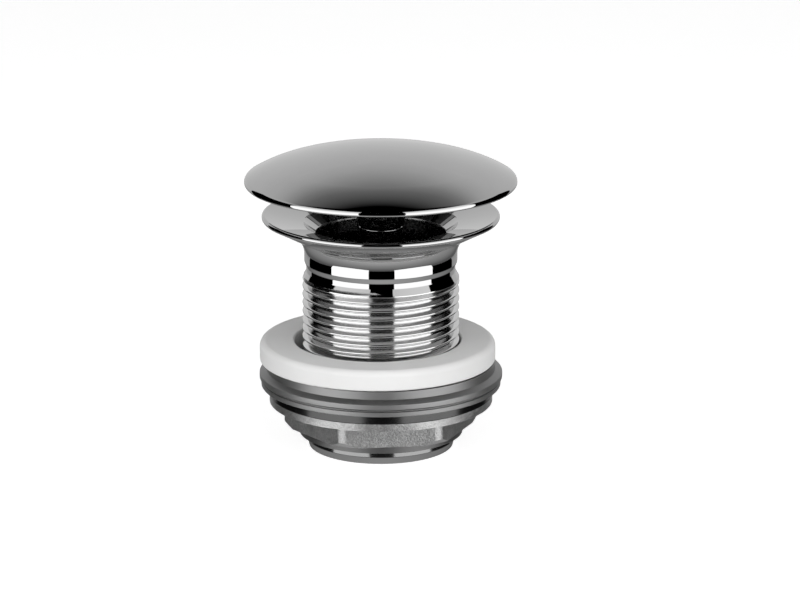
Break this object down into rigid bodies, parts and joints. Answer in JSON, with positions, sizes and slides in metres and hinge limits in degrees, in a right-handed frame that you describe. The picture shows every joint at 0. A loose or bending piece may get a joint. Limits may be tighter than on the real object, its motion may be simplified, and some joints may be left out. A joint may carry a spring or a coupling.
{
  "type": "pop up basin waste",
  "caption": "Push-to-open basin drain: dished flange and threaded tube, domed cap on a sprung stem, rubber gasket, pressure ring and hexagon lock nut.",
  "frame": {"origin": "centre of the tube's lower end, on the tube's axis", "axes": "+Z along the tube's axis, up towards the cap; -Y is the side that the picture shows"},
  "size_m": [0.0724, 0.0724, 0.0815],
  "materials": {
    "chrome": "polished chrome plate",
    "raw_nickel": "plated over a rough casting, turned bright on the disc",
    "white_rubber": "smooth matt",
    "dark_rubber": "matt",
    "brass": "turned",
    "white_plastic": "moulded acetal",
    "grey_plastic": "moulded",
    "steel": "bright drawn stainless"
  },
  "bodies": {
    "drain_body": {"flanged_body": "chrome", "cartridge_housing": "brass", "cartridge_washer": "dark_rubber", "guide_bush": "white_plastic", "stem_seal": "dark_rubber", "cam_sleeve": "white_plastic", "end_plug": "brass", "retaining_clip": "steel", "return_spring": "steel"},
    "press_carriage": {"thrust_washer": "steel"},
    "plunger": {"plunger_stem": "chrome", "rotor_clip": "steel", "adjusting_stud": "steel", "cap_boss": "chrome", "cap_dome": "chrome", "cap_seal": "dark_rubber", "seal_retainer": "grey_plastic"},
    "rotor": {"cam_rotor": "grey_plastic"},
    "clamp_set": {"white_gasket": "white_rubber", "pressure_ring": "chrome"},
    "nut": {"lock_nut": "raw_nickel"}
  },
  "joints": [
    {"name": "cap_press", "type": "slide", "parent": "drain_body", "child": "press_carriage", "axis": [0, 0, 1], "range_m": [-0.008, 0], "stiffness_N_per_m": 800, "springref_m": 0.006, "deforming": ["return_spring"]},
    {"name": "cap_spin", "type": "hinge", "parent": "press_carriage", "child": "plunger", "pos_m": [0, 0, 0.0366], "axis": [0, 0, 1], "continuous": true},
    {"name": "rotor_turn", "type": "hinge", "parent": "press_carriage", "child": "rotor", "pos_m": [0, 0, 0.0366], "axis": [0, 0, 1], "range_deg": [0, 45]},
    {"name": "clamp_slide", "type": "slide", "parent": "drain_body", "child": "clamp_set", "axis": [0, 0, 1], "range_m": [-0.0024, 0.0174]},
    {"name": "nut_turn", "type": "hinge", "parent": "clamp_set", "child": "nut", "pos_m": [0, 0, 0.0168], "axis": [0, 0, 1], "range_deg": [-360, 2700]}
  ],
  "couplings": [
    {"joint": "rotor_turn", "follows": "cap_press", "rad_per_m": -98.17},
    {"joint": "clamp_slide", "follows": "nut_turn", "m_per_rad": 0.0003675}
  ]
}
